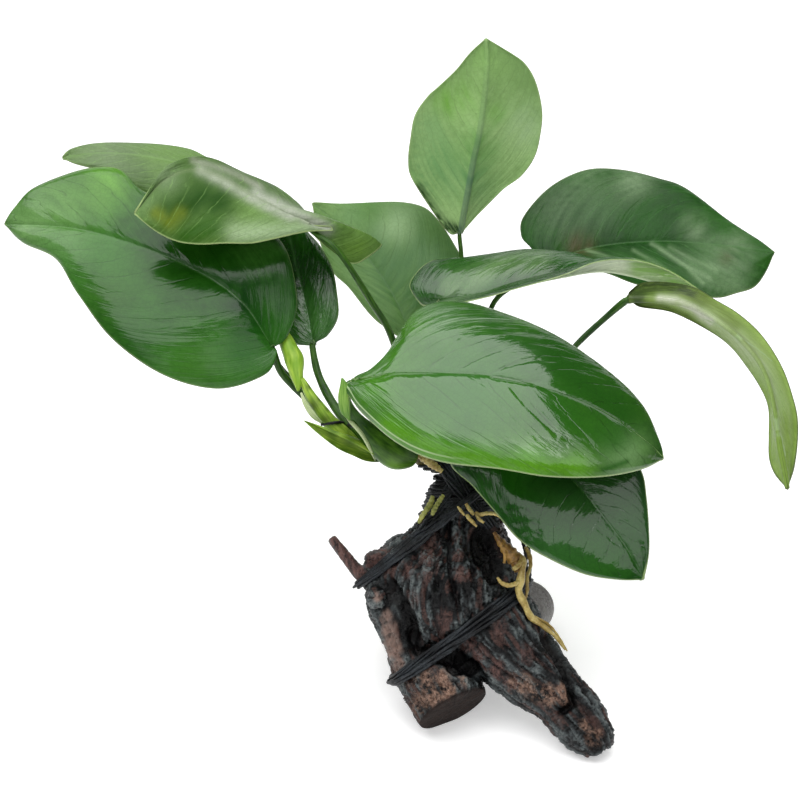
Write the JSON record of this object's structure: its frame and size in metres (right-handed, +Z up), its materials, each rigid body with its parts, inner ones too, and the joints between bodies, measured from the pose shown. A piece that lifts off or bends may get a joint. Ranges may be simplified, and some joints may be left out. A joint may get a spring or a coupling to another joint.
{
  "type": "anubias plant on driftwood",
  "caption": "Broad-leaved water plant with a creeping stem, bound with black thread to a forked, dark piece of driftwood that stands on its branch ends.",
  "frame": {"origin": "on the ground, under the middle of the bounding box", "axes": "+Z up; +X to the right along the longest spread of leaves; +Y away from the viewer, the shallowest way through"},
  "size_m": [0.2421, 0.1512, 0.1777],
  "materials": {
    "leaf_bright": "glossy, waxy, saturated green with fine darker veins",
    "leaf_dark": "glossy, waxy, deep green with fine veins",
    "leaf_pale": "satin, pale green leaf underside with a grey-green midrib",
    "stalk": "satin dark green stalk",
    "young_growth": "satin yellow-green new growth",
    "rhizome": "satin green to tan creeping stem",
    "root": "matte tan-yellow root",
    "driftwood": "matte charcoal-brown waterlogged wood, ridged and grooved",
    "thread": "matte black twisted thread"
  },
  "bodies": {
    "root": {"driftwood_back_leg": "driftwood", "driftwood_blade": "driftwood", "driftwood_left_stem": "driftwood", "driftwood_rear_stub": "driftwood", "driftwood_right_prong": "driftwood", "driftwood_trunk": "driftwood", "driftwood_twig_end": "driftwood", "leaf_arching": "leaf_bright", "leaf_back_left": "leaf_dark", "leaf_drooping": "leaf_bright", "leaf_front": "leaf_bright", "leaf_left": "leaf_dark", "leaf_low_left": "leaf_dark", "leaf_low_right": "leaf_dark", "leaf_middle_back": "leaf_pale", "leaf_upper_left": "leaf_dark", "leaf_upper_right": "leaf_dark", "leaf_upright": "leaf_pale", "lower_sheath": "young_growth", "new_leaf_roll": "young_growth", "new_leaf_stalk": "young_growth", "rhizome": "rhizome", "root_left_inner": "root", "root_left_outer": "root", "root_main": "root", "root_right_lower": "root", "root_right_upper": "root", "root_side": "root", "stalk_arching": "stalk", "stalk_back_left": "stalk", "stalk_drooping": "stalk", "stalk_front": "stalk", "stalk_left": "stalk", "stalk_low_left": "stalk", "stalk_low_right": "stalk", "stalk_middle_back": "stalk", "stalk_upper_left": "stalk", "stalk_upper_right": "stalk", "stalk_upright": "stalk", "thread_lower_band": "thread", "thread_neck_wrap": "thread", "thread_over_crown": "thread", "thread_right_strands": "thread", "thread_upper_band": "thread"}
  },
  "joints": []
}
